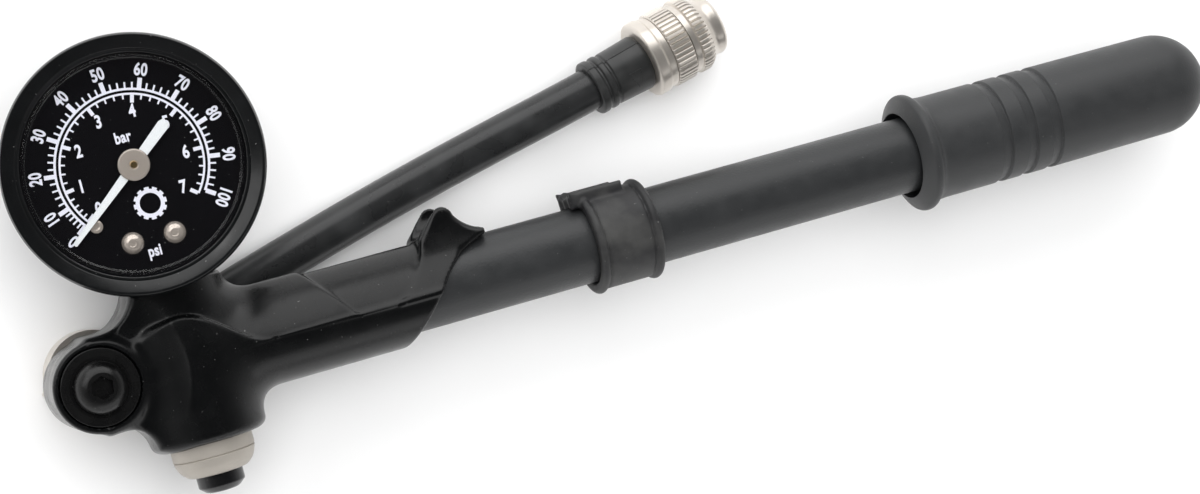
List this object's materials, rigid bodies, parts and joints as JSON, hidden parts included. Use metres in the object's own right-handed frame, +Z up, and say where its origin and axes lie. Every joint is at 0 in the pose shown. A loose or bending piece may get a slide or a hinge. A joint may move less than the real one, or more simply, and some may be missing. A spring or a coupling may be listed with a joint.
{
  "type": "mini pump",
  "caption": "Slim hand pump for bicycle tyres with a round pressure gauge on its head, a swivelling rubber hose and a screw-on valve chuck.",
  "frame": {"origin": "middle of the pump's footprint, its free hose left out, on the surface that the pump lies on", "axes": "+X along the barrel from the head to the handle, +Y from the barrel towards the gauge, +Z up, the way the dial faces"},
  "size_m": [0.2598, 0.0908, 0.0413],
  "materials": {
    "casting_black": "die-cast, satin black coat",
    "barrel_black": "fine matte black anodising",
    "aluminium_bare": "turned",
    "bush_plastic": "moulded acetal",
    "piston_plastic": "moulded acetal",
    "steel": "ground",
    "brass": "turned",
    "seal_rubber": "smooth",
    "handle_black": "moulded, fine matte",
    "clip_rubber": "moulded, dusty",
    "cap_metal": "turned, satin",
    "button_black": "polished moulding",
    "bolt_black": "black oxide, oiled",
    "hose_rubber": "smooth extruded",
    "ferrule_black": "moulded",
    "chuck_nickel": "satin nickel plate",
    "case_black": "pressed, black paint",
    "bezel_black": "polished moulding",
    "lens_clear": "clear, polished",
    "dial_black": "matte paint with printed scales",
    "pointer_white": "stamped, white paint",
    "rivet_metal": "domed, nickel plate",
    "ptfe_white": "smooth"
  },
  "bodies": {
    "head": {"head_casting": "casting_black", "barrel_tube": "barrel_black", "rod_gland": "aluminium_bare", "rod_bush": "bush_plastic", "check_seat": "brass", "check_spring": "steel", "gauge_case": "case_black", "gauge_bezel": "bezel_black", "gauge_lens": "lens_clear", "dial_plate": "dial_black", "dial_rivets": "rivet_metal", "stop_pin": "rivet_metal", "movement_frame": "brass", "bourdon_tube": "brass", "gauge_socket": "brass", "stem_seal": "ptfe_white", "gauge_link": "brass", "hairspring": "brass", "bleed_cap": "cap_metal", "bleed_spring": "steel"},
    "hose_end": {"swivel_elbow": "chuck_nickel", "swivel_seals": "seal_rubber", "pivot_bolt": "bolt_black", "bolt_washer": "bolt_black", "hose": "hose_rubber", "hose_ferrule": "ferrule_black", "chuck_body": "chuck_nickel"},
    "drive_ring": {"chuck_ring": "chuck_nickel"},
    "valve_pin": {"chuck_pin": "brass"},
    "collar": {"chuck_collar": "chuck_nickel", "chuck_seal": "seal_rubber"},
    "piston_head": {"piston": "piston_plastic", "piston_ring": "seal_rubber"},
    "plunger": {"piston_rod": "steel", "rod_clip": "steel", "handle": "handle_black", "handle_insert": "brass", "handle_bumper": "seal_rubber"},
    "clip": {"hose_clip": "clip_rubber"},
    "button": {"bleed_button": "button_black", "bleed_stem": "brass", "bleed_seal": "seal_rubber"},
    "ball": {"check_ball": "steel"},
    "needle": {"pointer": "pointer_white", "pointer_hub": "rivet_metal", "pinion_arbor": "brass"},
    "sector": {"sector_gear": "brass"}
  },
  "joints": [
    {"name": "pump_stroke", "type": "slide", "parent": "head", "child": "piston_head", "axis": [1, 0, 0], "range_m": [0, 0.17]},
    {"name": "handle_spin", "type": "hinge", "parent": "piston_head", "child": "plunger", "pos_m": [-0.10215, -0.0183, 0.021], "axis": [1, 0, 0], "continuous": true},
    {"name": "hose_swivel", "type": "hinge", "parent": "head", "child": "hose_end", "pos_m": [-0.12085, -0.0191, 0.021], "axis": [0, 0, 1], "range_deg": [-8, 190]},
    {"name": "chuck_ring_turn", "type": "hinge", "parent": "hose_end", "child": "drive_ring", "pos_m": [0.01521, 0.0169, 0.00855], "axis": [0.9724, 0.2334, 0], "range_deg": [0, 360]},
    {"name": "chuck_pin_advance", "type": "slide", "parent": "hose_end", "child": "valve_pin", "axis": [0.9724, 0.2334, 0], "range_m": [0, 0.002]},
    {"name": "chuck_collar_spin", "type": "hinge", "parent": "hose_end", "child": "collar", "pos_m": [0.02216, 0.01857, 0.00855], "axis": [0.9724, 0.2334, 0], "continuous": true},
    {"name": "bleed_press", "type": "slide", "parent": "head", "child": "button", "axis": [0, 1, 0], "range_m": [0, 0.002], "stiffness_N_per_m": 1500, "springref_m": -0.001, "deforming": ["bleed_spring"]},
    {"name": "check_valve_lift", "type": "slide", "parent": "head", "child": "ball", "axis": [-1, 0, 0], "range_m": [0, 0.001], "stiffness_N_per_m": 200, "springref_m": -0.0005, "deforming": ["check_spring"]},
    {"name": "sector_turn", "type": "hinge", "parent": "head", "child": "sector", "pos_m": [-0.10324, 0.0068, 0.02751], "axis": [-0.165, 0, 0.9863], "range_deg": [0, 31.5], "stiffness_Nm_per_rad": 0.002, "springref_deg": -2.86},
    {"name": "pointer_turn", "type": "hinge", "parent": "head", "child": "needle", "pos_m": [-0.10425, 0.0203, 0.03353], "axis": [0.165, 0, -0.9863], "range_deg": [0, 252]},
    {"name": "clip_slide", "type": "slide", "parent": "head", "child": "clip", "axis": [1, 0, 0], "range_m": [-0.0185, 0.055]}
  ],
  "couplings": [
    {"joint": "chuck_pin_advance", "follows": "chuck_ring_turn", "m_per_rad": 0.00031831},
    {"joint": "pointer_turn", "follows": "sector_turn", "ratio": 8}
  ]
}
